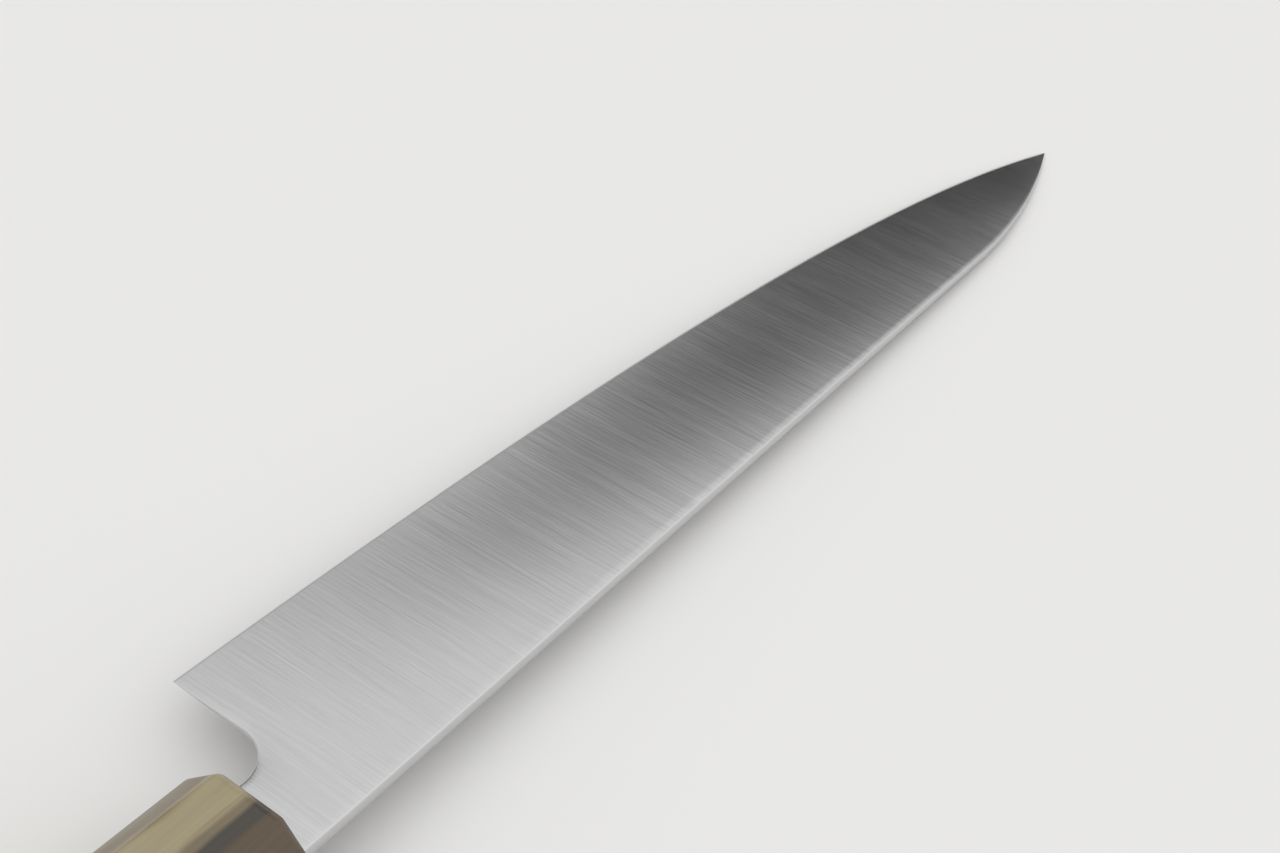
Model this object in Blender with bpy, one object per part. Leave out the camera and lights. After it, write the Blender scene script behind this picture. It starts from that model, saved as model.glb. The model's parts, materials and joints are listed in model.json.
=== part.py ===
"""Petty knife: a two-sided blade with a hidden tang, a horn ferrule and an eight-sided wooden grip.

Every piece is drawn in the knife's own frame, with sizes in millimetres:
x runs along the handle and the blade to the tip, and x = 0 is the ferrule's front face,
y runs across the blade to the cutting edge, and y = 0 is the handle's centre line,
z runs through the blade's thickness, and z = 0 is the blade's middle plane.

The whole knife is then laid on its side on the surface z = 0. It tips forward over the
ferrule's lower rim until the blade touches the surface near its tip.
"""

import math

import bmesh
import bpy

MM = 0.001

# Blade outline
BLADE_LENGTH = 180.0
HEEL_HEIGHT = 30.6
TIP_DROP = 7.2
SPINE_DROP_LENGTH = 34.0
HEEL_EDGE_SLOPE = 0.036
HEEL_EDGE_REACH = 74.0
TIP_EDGE_SLOPE = 0.45
TIP_EDGE_REACH = 32.0

# Blade thickness
SPINE_THICKNESS = 2.2
TIP_THICKNESS = 0.9
EDGE_THICKNESS = 0.3
BEVEL_HEIGHT = 0.7
SPINE_EASE = 0.3
GRIND_CONVEXITY = 1.2
TAPER_CURVE = 1.4

# Neck and tang
NECK_LENGTH = 10.0
NECK_HEIGHT = 12.6
CHOIL_RADIUS = 6.1
TANG_SHOULDER = 1.2
TANG_HEIGHT = 9.2
TANG_END_HEIGHT = 5.0
TANG_END_THICKNESS = 1.8
TANG_LENGTH = 95.0
TANG_END_ROOM = 3.0

# Handle outside
FERRULE_LENGTH = 27.0
HANDLE_LENGTH = 125.0
FRONT_HEIGHT = 19.8
FRONT_THICKNESS = 17.0
FRONT_CHAMFER = 4.9
BUTT_HEIGHT = 23.8
BUTT_THICKNESS = 20.0
BUTT_CHAMFER = 5.8
CORNER_RADIUS = 0.8
RIM_RADIUS = 1.8
BUTT_RADIUS = 1.4

# Handle inside
FRONT_WALL = 5.2
DOWEL_RADIUS = 6.5
DOWEL_IN_GRIP = 20.0
DOWEL_END_CHAMFER = 0.6
SEAL_DEPTH = 1.4
SEAL_WIDTH = 1.1
CLEARANCE = 0.3
SEAL_CLEARANCE = 0.2

# How far a cutter runs past the face that it opens
CUT_PAST = 1.0

# Limits near the tip: half thickness and bevel as shares of the blade's height there,
# spine ease and edge as a share of the half thickness
SLIM_SHARE = 0.25
THIN_SHARE = 0.5

# Mesh density
SPINE_EASE_STEPS = 2
NECK_ROWS = 4
EDGE_ROWS = 5
TANG_COLUMNS = 6
SHOULDER_COLUMNS = 4
NECK_COLUMNS = 3
CHOIL_STEPS = 8
BLADE_COLUMNS = 26
TIP_COLUMNS = 18
CORNER_STEPS = 3
RIM_STEPS = 5
DOWEL_SIDES = 40

# Colours: linear red, green, blue, then metallic and roughness
FINISHES = {
    "blade": ((0.56, 0.56, 0.57), 1.0, 0.34),
    "horn_ferrule": ((0.40, 0.35, 0.24), 0.0, 0.35),
    "wood_handle": ((0.60, 0.45, 0.27), 0.0, 0.60),
    "joint_dowel": ((0.50, 0.33, 0.18), 0.0, 0.70),
    "mouth_seal": ((0.09, 0.06, 0.04), 0.0, 0.45),
}

SPINE_Y = -NECK_HEIGHT / 2
HEEL_X = NECK_LENGTH
TIP_X = HEEL_X + BLADE_LENGTH
SHOULDER_END_X = -FRONT_WALL
NECK_END_X = SHOULDER_END_X + TANG_SHOULDER
SHARP_ANGLE = math.radians(32)
MAX_TILT = math.radians(15)
HALVINGS = 50


# Blade: outline

def spine_y(x):
    """The spine runs straight and curves down to the tip over its last stretch."""
    past = max(0.0, x - (TIP_X - SPINE_DROP_LENGTH))
    return SPINE_Y + TIP_DROP * (past / SPINE_DROP_LENGTH) ** 2


def edge_curve(t):
    """Point of the cutting edge, a cubic curve from the heel corner at 0 to the tip at 1."""
    heel = (HEEL_X, SPINE_Y + HEEL_HEIGHT)
    tip = (TIP_X, SPINE_Y + TIP_DROP)
    heel_pull = (heel[0] + HEEL_EDGE_REACH, heel[1] - HEEL_EDGE_SLOPE * HEEL_EDGE_REACH)
    tip_pull = (tip[0] - TIP_EDGE_REACH, tip[1] + TIP_EDGE_SLOPE * TIP_EDGE_REACH)
    weights = ((1 - t) ** 3, 3 * (1 - t) ** 2 * t, 3 * (1 - t) * t ** 2, t ** 3)
    points = (heel, heel_pull, tip_pull, tip)
    return [sum(w * p[axis] for w, p in zip(weights, points)) for axis in range(2)]


def edge_y(x):
    """Height of the cutting edge at x, found by halving the curve's range."""
    low, high = 0.0, 1.0
    for _ in range(HALVINGS):
        middle = (low + high) / 2
        if edge_curve(middle)[0] < x:
            low = middle
        else:
            high = middle
    return edge_curve(low)[1]


# Blade: thickness

def spine_thickness(x):
    """The spine is full thickness at the heel and thins towards the tip."""
    share = min(1.0, max(0.0, (x - HEEL_X) / BLADE_LENGTH))
    return SPINE_THICKNESS - (SPINE_THICKNESS - TIP_THICKNESS) * share ** TAPER_CURVE


def spine_ease_rows(top, ease, half):
    """Rows of the rounded corner between the spine and the blade's face."""
    rows = []
    for step in range(SPINE_EASE_STEPS + 1):
        angle = math.pi / 2 * step / SPINE_EASE_STEPS
        rows.append((top + ease * (1 - math.cos(angle)), half - ease * (1 - math.sin(angle))))
    return rows


def face_half(share, half, edge_half):
    """Half thickness of the convex grind, from the spine at 0 to the bevel's shoulder at 1."""
    return edge_half + (half - edge_half) * (1 - share ** GRIND_CONVEXITY)


def blade_sizes(x):
    """Spine, edge, spine ease, bevel height and the two half thicknesses at x."""
    top, bottom = spine_y(x), edge_y(x)
    height = bottom - top
    half = min(spine_thickness(x) / 2, height * SLIM_SHARE)
    ease = min(SPINE_EASE, half * THIN_SHARE)
    bevel = min(BEVEL_HEIGHT, height * SLIM_SHARE)
    edge_half = min(EDGE_THICKNESS / 2, half * THIN_SHARE)
    return top, bottom, ease, bevel, half, edge_half


def choil_share():
    """Share of the heel's face where the choil's curve meets the straight choil."""
    top, bottom, ease, bevel, _, _ = blade_sizes(HEEL_X)
    choil_end = NECK_HEIGHT / 2 + CHOIL_RADIUS
    return (choil_end - top - ease) / (bottom - bevel - top - ease)


def blade_column(x):
    """Rows (y, half thickness) of the blade at x, from the spine to the cutting edge."""
    top, bottom, ease, bevel, half, edge_half = blade_sizes(x)
    split = choil_share()
    shares = [split * (i + 1) / NECK_ROWS for i in range(NECK_ROWS)]
    shares += [split + (1 - split) * (i + 1) / EDGE_ROWS for i in range(EDGE_ROWS)]
    rows = spine_ease_rows(top, ease, half)
    for share in shares:
        y = top + ease + share * (bottom - bevel - top - ease)
        rows.append((y, face_half(share, half, edge_half)))
    rows.append((bottom, 0.0))
    return rows


# Neck and tang

def heel_half(y):
    """Half thickness of the blade's face at the heel, at height y."""
    top, bottom, ease, bevel, half, edge_half = blade_sizes(HEEL_X)
    share = (y - top - ease) / (bottom - bevel - top - ease)
    return face_half(min(1.0, max(0.0, share)), half, edge_half)


def neck_column(x, bottom):
    """Rows of the neck at x. The grind fades into the flat neck ahead of the ferrule."""
    share = min(1.0, (HEEL_X - x) / NECK_LENGTH)
    flat = share * share * (3 - 2 * share)
    half = SPINE_THICKNESS / 2
    rows = spine_ease_rows(SPINE_Y, SPINE_EASE, half)
    for i in range(NECK_ROWS):
        y = SPINE_Y + SPINE_EASE + (i + 1) / NECK_ROWS * (bottom - SPINE_Y - SPINE_EASE)
        rows.append((y, (1 - flat) * heel_half(y) + flat * half))
    return rows


def tang_half_height(x):
    """Half height of the tang, which narrows evenly from its shoulder to its end."""
    share = min(1.0, max(0.0, (SHOULDER_END_X - x) / (TANG_LENGTH + SHOULDER_END_X)))
    return (TANG_HEIGHT + (TANG_END_HEIGHT - TANG_HEIGHT) * share) / 2


def tang_half_thickness(x):
    """Half thickness of the tang, which thins evenly from the ferrule's front to its end."""
    share = min(1.0, max(0.0, -x / TANG_LENGTH))
    return (SPINE_THICKNESS + (TANG_END_THICKNESS - SPINE_THICKNESS) * share) / 2


def tang_column(x, half_height):
    """Rows of the tang at x."""
    half = tang_half_thickness(x)
    rows = spine_ease_rows(-half_height, SPINE_EASE, half)
    for i in range(NECK_ROWS):
        y = -half_height + SPINE_EASE + (i + 1) / NECK_ROWS * (2 * half_height - SPINE_EASE)
        rows.append((y, half))
    return rows


def blade_columns():
    """All columns (x, rows) from the tang's end to the last one before the tip."""
    columns = []
    for i in range(TANG_COLUMNS):
        x = -TANG_LENGTH + (TANG_LENGTH + SHOULDER_END_X) * i / TANG_COLUMNS
        columns.append((x, tang_column(x, tang_half_height(x))))
    for i in range(SHOULDER_COLUMNS + 1):
        share = i / SHOULDER_COLUMNS
        x = SHOULDER_END_X + (NECK_END_X - SHOULDER_END_X) * share
        rise = (1 - math.cos(math.pi * share)) / 2
        half_height = TANG_HEIGHT / 2 + (NECK_HEIGHT - TANG_HEIGHT) / 2 * rise
        columns.append((x, tang_column(x, half_height)))
    choil_start = HEEL_X - CHOIL_RADIUS
    for i in range(NECK_COLUMNS):
        x = choil_start * i / NECK_COLUMNS
        columns.append((x, neck_column(x, NECK_HEIGHT / 2)))
    for i in range(CHOIL_STEPS):
        angle = math.pi / 2 * i / CHOIL_STEPS
        x = choil_start + CHOIL_RADIUS * math.sin(angle)
        columns.append((x, neck_column(x, NECK_HEIGHT / 2 + CHOIL_RADIUS * (1 - math.cos(angle)))))
    straight_end = TIP_X - SPINE_DROP_LENGTH
    for i in range(BLADE_COLUMNS):
        x = HEEL_X + (straight_end - HEEL_X) * i / BLADE_COLUMNS
        columns.append((x, blade_column(x)))
    for i in range(TIP_COLUMNS):
        x = straight_end + SPINE_DROP_LENGTH * math.sin(math.pi / 2 * i / TIP_COLUMNS)
        columns.append((x, blade_column(x)))
    return columns


def make_blade():
    """Blade, neck and tang as one closed skin over a grid of columns and rows."""
    columns = blade_columns()
    mesh = bmesh.new()
    left, right = [], []
    for x, rows in columns:
        left.append([mesh.verts.new((x * MM, y * MM, half * MM)) for y, half in rows])
        right.append([
            left[-1][i] if half == 0 else mesh.verts.new((x * MM, y * MM, -half * MM))
            for i, (y, half) in enumerate(rows)
        ])
    tip = mesh.verts.new((TIP_X * MM, (SPINE_Y + TIP_DROP) * MM, 0))

    def add_face(*corners):
        loop = list(dict.fromkeys(corners))
        if len(loop) > 2:
            mesh.faces.new(loop)

    heel = next(i for i, (x, _) in enumerate(columns) if x == HEEL_X)
    for c in range(len(columns) - 1):
        rows = min(len(columns[c][1]), len(columns[c + 1][1]))
        for r in range(rows - 1):
            add_face(left[c][r], left[c + 1][r], left[c + 1][r + 1], left[c][r + 1])
            add_face(right[c][r], right[c][r + 1], right[c + 1][r + 1], right[c + 1][r])
        add_face(left[c][0], right[c][0], right[c + 1][0], left[c + 1][0])
        if c < heel:
            last = rows - 1
            add_face(left[c][last], left[c + 1][last], right[c + 1][last], right[c][last])
    for side, other in ((left[-1], right[-1]), (right[-1], left[-1])):
        for r in range(len(side) - 1):
            add_face(side[r], side[r + 1], tip)
    add_face(left[-1][0], right[-1][0], tip)
    add_face(*left[0], *reversed(right[0]))
    for r in range(len(columns[0][1]) - 1, len(columns[heel][1]) - 1):
        add_face(left[heel][r], left[heel][r + 1], right[heel][r + 1], right[heel][r])
    bmesh.ops.recalc_face_normals(mesh, faces=mesh.faces)
    return finish_object("blade", mesh)


# Eight-sided handle sections

def section_ring(x, inset=0.0):
    """Eight-sided section at x with rounded corners, drawn in from the outside by inset."""
    share = -x / HANDLE_LENGTH
    half_y = (FRONT_HEIGHT + (BUTT_HEIGHT - FRONT_HEIGHT) * share) / 2 - inset
    half_z = (FRONT_THICKNESS + (BUTT_THICKNESS - FRONT_THICKNESS) * share) / 2 - inset
    chamfer = FRONT_CHAMFER + (BUTT_CHAMFER - FRONT_CHAMFER) * share - inset * (2 - math.sqrt(2))
    corners = [
        (half_y, half_z - chamfer), (half_y - chamfer, half_z),
        (chamfer - half_y, half_z), (-half_y, half_z - chamfer),
        (-half_y, chamfer - half_z), (chamfer - half_y, -half_z),
        (half_y - chamfer, -half_z), (half_y, chamfer - half_z),
    ]
    ring = []
    turn = math.pi / 4
    setback = CORNER_RADIUS * math.tan(turn / 2)
    for i, (y, z) in enumerate(corners):
        facing = i * turn
        start_y = y + setback * math.sin(facing)
        start_z = z - setback * math.cos(facing)
        centre_y = start_y - CORNER_RADIUS * math.cos(facing)
        centre_z = start_z - CORNER_RADIUS * math.sin(facing)
        for step in range(CORNER_STEPS + 1):
            angle = facing + turn * step / CORNER_STEPS
            ring.append((
                x,
                centre_y + CORNER_RADIUS * math.cos(angle),
                centre_z + CORNER_RADIUS * math.sin(angle),
            ))
    return ring


def rounded_end(x, radius, outward):
    """Rings of a rounded rim whose flat end face is at x. outward is +1 at the front, -1 at the back."""
    rings = []
    for step in range(RIM_STEPS + 1):
        angle = math.pi / 2 * step / RIM_STEPS
        ring_x = x - outward * radius * (1 - math.sin(angle))
        rings.append(section_ring(ring_x, radius * (1 - math.cos(angle))))
    return rings


def loft(name, rings):
    """Closed solid through rings of the same number of points, with flat ends."""
    mesh = bmesh.new()
    loops = [[mesh.verts.new([value * MM for value in point]) for point in ring] for ring in rings]
    count = len(loops[0])
    for first, second in zip(loops, loops[1:]):
        for i in range(count):
            mesh.faces.new((first[i], first[(i + 1) % count], second[(i + 1) % count], second[i]))
    mesh.faces.new(loops[0])
    mesh.faces.new(loops[-1])
    bmesh.ops.recalc_face_normals(mesh, faces=mesh.faces)
    return finish_object(name, mesh)


# Cutters

def rectangle_ring(x, half_y, half_z):
    """Four corners of a rectangle across the handle's axis."""
    return [(x, half_y, half_z), (x, -half_y, half_z), (x, -half_y, -half_z), (x, half_y, -half_z)]


def circle_ring(x, radius):
    """Points of a circle across the handle's axis."""
    turns = [2 * math.pi * i / DOWEL_SIDES for i in range(DOWEL_SIDES)]
    return [(x, radius * math.cos(turn), radius * math.sin(turn)) for turn in turns]


def cut(target, cutter):
    """Subtract a hidden cutter from the target with a Boolean modifier."""
    cutter.hide_render = True
    cutter.display_type = "WIRE"
    modifier = target.modifiers.new(cutter.name, "BOOLEAN")
    modifier.operation = "DIFFERENCE"
    modifier.solver = "EXACT"
    modifier.object = cutter


def make_tang_void():
    """Tapered slot that follows the tang with a clearance all round."""
    rings = []
    for x in (SHOULDER_END_X + CUT_PAST, -TANG_LENGTH, -TANG_LENGTH - TANG_END_ROOM):
        rings.append(rectangle_ring(x, tang_half_height(x) + CLEARANCE,
                                    tang_half_thickness(x) + CLEARANCE))
    return loft("tang_void", rings)


def make_mouth_slot():
    """Slot through the ferrule's front wall for the neck."""
    half_y = NECK_HEIGHT / 2 + CLEARANCE
    half_z = SPINE_THICKNESS / 2 + CLEARANCE
    return loft("mouth_slot", [rectangle_ring(CUT_PAST, half_y, half_z),
                               rectangle_ring(-FRONT_WALL - CUT_PAST, half_y, half_z)])


def make_seal_pocket():
    """Shallow pocket round the mouth that holds the seal."""
    half_y = NECK_HEIGHT / 2 + CLEARANCE + SEAL_WIDTH
    half_z = SPINE_THICKNESS / 2 + CLEARANCE + SEAL_WIDTH
    return loft("seal_pocket", [rectangle_ring(CUT_PAST, half_y, half_z),
                                rectangle_ring(-SEAL_DEPTH, half_y, half_z)])


def make_dowel_bore():
    """Round bore through the ferrule's back and into the grip."""
    radius = DOWEL_RADIUS + CLEARANCE
    back = -FERRULE_LENGTH - DOWEL_IN_GRIP - CLEARANCE
    return loft("dowel_bore", [circle_ring(-FRONT_WALL, radius), circle_ring(back, radius)])


# Handle pieces

def make_horn_ferrule():
    """Horn ferrule with a rounded front rim."""
    rings = [section_ring(-FERRULE_LENGTH)] + rounded_end(0.0, RIM_RADIUS, 1)
    return loft("horn_ferrule", rings)


def make_wood_handle():
    """Wooden grip with rounded butt corners."""
    rings = rounded_end(-HANDLE_LENGTH, BUTT_RADIUS, -1)[::-1]
    rings.append(section_ring(-FERRULE_LENGTH - CLEARANCE))
    return loft("wood_handle", rings)


def make_joint_dowel():
    """Round dowel with chamfered ends that joins ferrule and grip."""
    front = -FRONT_WALL - CLEARANCE
    back = -FERRULE_LENGTH - DOWEL_IN_GRIP
    small = DOWEL_RADIUS - DOWEL_END_CHAMFER
    return loft("joint_dowel", [
        circle_ring(front, small), circle_ring(front - DOWEL_END_CHAMFER, DOWEL_RADIUS),
        circle_ring(back + DOWEL_END_CHAMFER, DOWEL_RADIUS), circle_ring(back, small),
    ])


def make_mouth_seal():
    """Seal in the pocket, flush with the ferrule's front and open for the neck."""
    half_y = NECK_HEIGHT / 2 + CLEARANCE + SEAL_WIDTH - SEAL_CLEARANCE
    half_z = SPINE_THICKNESS / 2 + CLEARANCE + SEAL_WIDTH - SEAL_CLEARANCE
    return loft("mouth_seal", [rectangle_ring(0.0, half_y, half_z),
                               rectangle_ring(-SEAL_DEPTH + SEAL_CLEARANCE, half_y, half_z)])


# Objects and assembly

def make_material(name):
    """Principled material of a named finish."""
    colour, metallic, roughness = FINISHES[name]
    material = bpy.data.materials.new(name)
    material.use_nodes = True
    shader = material.node_tree.nodes["Principled BSDF"]
    shader.inputs["Base Color"].default_value = (*colour, 1)
    shader.inputs["Metallic"].default_value = metallic
    shader.inputs["Roughness"].default_value = roughness
    return material


def finish_object(name, mesh):
    """Turn a bmesh into a linked object, smooth where its faces meet gently."""
    data = bpy.data.meshes.new(name)
    mesh.to_mesh(data)
    mesh.free()
    data.shade_smooth()
    data.set_sharp_from_angle(angle=SHARP_ANGLE)
    if name in FINISHES:
        data.materials.append(make_material(name))
    piece = bpy.data.objects.new(name, data)
    bpy.context.collection.objects.link(piece)
    return piece


def lowest(pieces, tilt):
    """Lowest point of some pieces once the knife is tipped forward by tilt."""
    return min(
        vert.co.z * math.cos(tilt) - vert.co.x * math.sin(tilt)
        for piece in pieces for vert in piece.data.vertices
    )


def lay_on_side(pieces):
    """Tip the knife over the ferrule's rim until the blade touches, and centre it on z = 0."""
    blade = [piece for piece in pieces if piece.name == "blade"]
    handle = [piece for piece in pieces if piece.name in ("horn_ferrule", "wood_handle")]
    low, high = 0.0, MAX_TILT
    for _ in range(HALVINGS):
        tilt = (low + high) / 2
        if lowest(blade, tilt) > lowest(handle, tilt):
            low = tilt
        else:
            high = tilt
    frame = bpy.data.objects.new("knife_frame", None)
    bpy.context.collection.objects.link(frame)
    frame.rotation_euler = (0, low, 0)
    for item in bpy.context.collection.objects:
        if item != frame:
            item.parent = frame
    bpy.context.view_layer.update()
    places = [piece.matrix_world @ vert.co for piece in pieces for vert in piece.data.vertices]
    middle = [
        (min(place[axis] for place in places) + max(place[axis] for place in places)) / 2
        for axis in range(2)
    ]
    frame.location = (-middle[0], -middle[1], -min(place.z for place in places))


def build_knife():
    """Every piece with its cuts, laid on the surface, in a scene emptied first."""
    for item in list(bpy.data.objects):
        bpy.data.objects.remove(item)
    blade = make_blade()
    ferrule = make_horn_ferrule()
    grip = make_wood_handle()
    dowel = make_joint_dowel()
    seal = make_mouth_seal()
    tang_void = make_tang_void()
    mouth_slot = make_mouth_slot()
    seal_pocket = make_seal_pocket()
    dowel_bore = make_dowel_bore()
    for target, cutters in (
        (ferrule, (dowel_bore, mouth_slot, seal_pocket)),
        (grip, (dowel_bore, tang_void)),
        (dowel, (tang_void,)),
        (seal, (mouth_slot,)),
    ):
        for cutter in cutters:
            cut(target, cutter)
    lay_on_side([blade, ferrule, grip, dowel, seal])


build_knife()
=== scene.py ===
"""Looks of the petty knife: satin blade, marbled horn ferrule and wooden grip on a pale floor.

Every piece is drawn in the knife's own frame, with sizes in millimetres, as the solids are:
x runs along the handle and the blade to the tip, and x = 0 is the ferrule's front face,
y runs across the blade to the cutting edge, and y = 0 is the handle's centre line,
z runs through the blade's thickness, and z = 0 is the blade's middle plane.
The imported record's butt face gives the place of that frame.
"""

import json
import math

import bmesh
import bpy
from mathutils import Matrix, Quaternion, Vector


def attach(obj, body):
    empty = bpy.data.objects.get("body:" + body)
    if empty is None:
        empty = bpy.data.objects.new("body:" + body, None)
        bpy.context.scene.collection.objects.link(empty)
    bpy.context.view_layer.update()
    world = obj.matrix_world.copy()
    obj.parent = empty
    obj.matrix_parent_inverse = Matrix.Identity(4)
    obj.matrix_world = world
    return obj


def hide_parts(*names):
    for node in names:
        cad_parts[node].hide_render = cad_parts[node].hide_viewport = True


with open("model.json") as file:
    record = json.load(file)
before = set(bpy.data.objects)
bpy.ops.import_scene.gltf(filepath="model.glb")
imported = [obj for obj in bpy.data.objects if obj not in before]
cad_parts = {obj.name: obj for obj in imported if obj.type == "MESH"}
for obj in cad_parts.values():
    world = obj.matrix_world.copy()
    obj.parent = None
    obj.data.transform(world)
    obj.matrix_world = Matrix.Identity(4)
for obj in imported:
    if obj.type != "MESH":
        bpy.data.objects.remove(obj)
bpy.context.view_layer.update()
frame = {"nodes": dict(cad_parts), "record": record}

MM = 0.001

# Blade outline
BLADE_LENGTH = 180.0
HEEL_HEIGHT = 30.6
TIP_DROP = 7.2
SPINE_DROP_LENGTH = 34.0
HEEL_EDGE_SLOPE = 0.036
HEEL_EDGE_REACH = 74.0
TIP_EDGE_SLOPE = 0.45
TIP_EDGE_REACH = 32.0

# Blade thickness
SPINE_THICKNESS = 2.2
TIP_THICKNESS = 0.88
EDGE_THICKNESS = 0.04
BEVEL_HEIGHT = 0.25
SPINE_CROWN = 0.45
CROWN_POWER = 2.6
TAPER_CURVE = 1.4
SLIM_SHARE = 0.042
SLIM_POWER = 4
THIN_SHARE = 0.5
RIM_EASE = 0.35
RIM_EASE_SHARE = 0.35

# Grind of the blade's faces: how much it bends, and where along the blade the bend changes
HEEL_BELLY = 0.8
MIDDLE_BELLY = 0.64
TIP_BELLY = 0.45
LEVEL_POWER = 4
HEEL_CHANGE = (22.0, 66.0)
TIP_CHANGE = (98.0, 160.0)

# Neck and tang
NECK_LENGTH = 10.0
NECK_HEIGHT = 12.6
CHOIL_RADIUS = 6.1
TANG_SHOULDER = 1.2
TANG_HEIGHT = 9.2
TANG_END_HEIGHT = 5.0
TANG_END_THICKNESS = 1.8
TANG_LENGTH = 95.0
TANG_END_ROOM = 3.0

# Handle outside
FERRULE_LENGTH = 27.0
HANDLE_LENGTH = 125.0
FRONT_HEIGHT = 19.8
FRONT_THICKNESS = 17.0
FRONT_CHAMFER = 4.9
BUTT_HEIGHT = 23.8
BUTT_THICKNESS = 20.0
BUTT_CHAMFER = 5.8
CORNER_RADIUS = 0.8
RIM_RADIUS = 1.8
BUTT_RADIUS = 1.4
JOINT_RADIUS = 0.12
JOINT_GAP = 0.06

# Handle inside
FRONT_WALL = 5.2
DOWEL_RADIUS = 6.5
DOWEL_IN_GRIP = 20.0
SEAL_DEPTH = 1.4
SEAL_WIDTH = 1.1
CLEARANCE = 0.3
SEAL_CLEARANCE = 0.05
MOUTH_CORNER = 0.4
SEAL_CLIMB = 0.45
SEAL_SINK = 0.3
SEAL_CURVE = 3
SEAL_STEPS = 6
CUT_PAST = 1.0

# Mesh density
CROWN_STEPS = 8
NECK_ROWS = 14
EDGE_ROWS = 16
RIM_EASE_STEPS = 5
TANG_COLUMNS = 12
SHOULDER_COLUMNS = 6
NECK_COLUMNS = 8
CHOIL_STEPS = 28
BLADE_COLUMNS = 110
TIP_COLUMNS = 60
CORNER_STEPS = 8
RIM_STEPS = 10
BORE_SIDES = 96
HALVINGS = 50

SPINE_Y = -NECK_HEIGHT / 2
HEEL_X = NECK_LENGTH
TIP_X = HEEL_X + BLADE_LENGTH
CHOIL_X = HEEL_X - CHOIL_RADIUS
CHOIL_Y = NECK_HEIGHT / 2 + CHOIL_RADIUS
FACE_START_X = HEEL_X + RIM_EASE
SHOULDER_END_X = -FRONT_WALL
SHARP_ANGLE = math.radians(32)

# The camera in the knife's frame: its place, the point of the blade that it looks at, its roll
CAMERA_PLACE = (-103.7, -113.3, 201.5)
CAMERA_AIM = (86.6, 10.0, 0.0)
CAMERA_ROLL = math.radians(4.5)
CAMERA_LENS = 59.7
CAMERA_SENSOR = 36.0


def knife_matrix():
    """Place of the knife's frame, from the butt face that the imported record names."""
    butt = next(mount for mount in frame["record"]["mounts"] if mount["name"] == "butt_face")
    along = -Vector(butt["axis"])
    across = Vector((0, 1, 0))
    rotation = Matrix((along, across, along.cross(across))).transposed().to_4x4()
    place = Vector(butt["pos_m"]) + HANDLE_LENGTH * MM * along
    return Matrix.Translation(place) @ rotation


KNIFE = knife_matrix()


# Blade outline

def spine_y(x):
    """The spine runs straight and curves down to the tip over its last stretch."""
    past = max(0.0, x - (TIP_X - SPINE_DROP_LENGTH))
    return SPINE_Y + TIP_DROP * (past / SPINE_DROP_LENGTH) ** 2


def edge_curve(t):
    """Point of the cutting edge, a cubic curve from the heel corner at 0 to the tip at 1."""
    heel = (HEEL_X, SPINE_Y + HEEL_HEIGHT)
    tip = (TIP_X, SPINE_Y + TIP_DROP)
    heel_pull = (heel[0] + HEEL_EDGE_REACH, heel[1] - HEEL_EDGE_SLOPE * HEEL_EDGE_REACH)
    tip_pull = (tip[0] - TIP_EDGE_REACH, tip[1] + TIP_EDGE_SLOPE * TIP_EDGE_REACH)
    weights = ((1 - t) ** 3, 3 * (1 - t) ** 2 * t, 3 * (1 - t) * t ** 2, t ** 3)
    points = (heel, heel_pull, tip_pull, tip)
    return [sum(w * p[axis] for w, p in zip(weights, points)) for axis in range(2)]


def edge_y(x):
    """Height of the cutting edge at x, found by halving the curve's range."""
    low, high = 0.0, 1.0
    for _ in range(HALVINGS):
        middle = (low + high) / 2
        if edge_curve(middle)[0] < x:
            low = middle
        else:
            high = middle
    return edge_curve(low)[1]


# Blade thickness

def spine_thickness(x):
    """The spine is full thickness at the heel and thins towards the tip."""
    share = min(1.0, max(0.0, (x - HEEL_X) / BLADE_LENGTH))
    return SPINE_THICKNESS - (SPINE_THICKNESS - TIP_THICKNESS) * share ** TAPER_CURVE


def crown_rows(top, crown, half):
    """Rows of the rounded spine, from its middle to the blade's face."""
    rows = []
    for step in range(CROWN_STEPS + 1):
        angle = math.pi / 2 * step / CROWN_STEPS
        drop = max(0.0, math.cos(angle)) ** (2 / CROWN_POWER)
        rows.append((top + crown * (1 - drop), half * math.sin(angle) ** (2 / CROWN_POWER)))
    return rows


def smooth_share(value, start, end):
    """Share of the way from start to end, kept from 0 to 1, with a gentle beginning and end."""
    share = min(1.0, max(0.0, (value - start) / (end - start)))
    return share * share * (3 - 2 * share)


def face_half(x, share, half, edge_half):
    """Half thickness at x, from the spine at 0 to the bevel's shoulder at 1.

    The face leaves the spine gently. Near the heel and the tip it then runs straight to the bevel,
    and in the middle of the blade it is steepest in mid face.
    """
    level_start = (LEVEL_POWER * share - 1 + (1 - share) ** LEVEL_POWER) / (LEVEL_POWER - 1)
    near_heel = HEEL_BELLY * (level_start - share)
    near_tip = TIP_BELLY * (level_start - share)
    middle = MIDDLE_BELLY * (smooth_share(share, 0, 1) - share)
    bend = near_heel + (middle - near_heel) * smooth_share(x, *HEEL_CHANGE)
    bend += (near_tip - bend) * smooth_share(x, *TIP_CHANGE)
    return half + (edge_half - half) * (share + bend)


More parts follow.
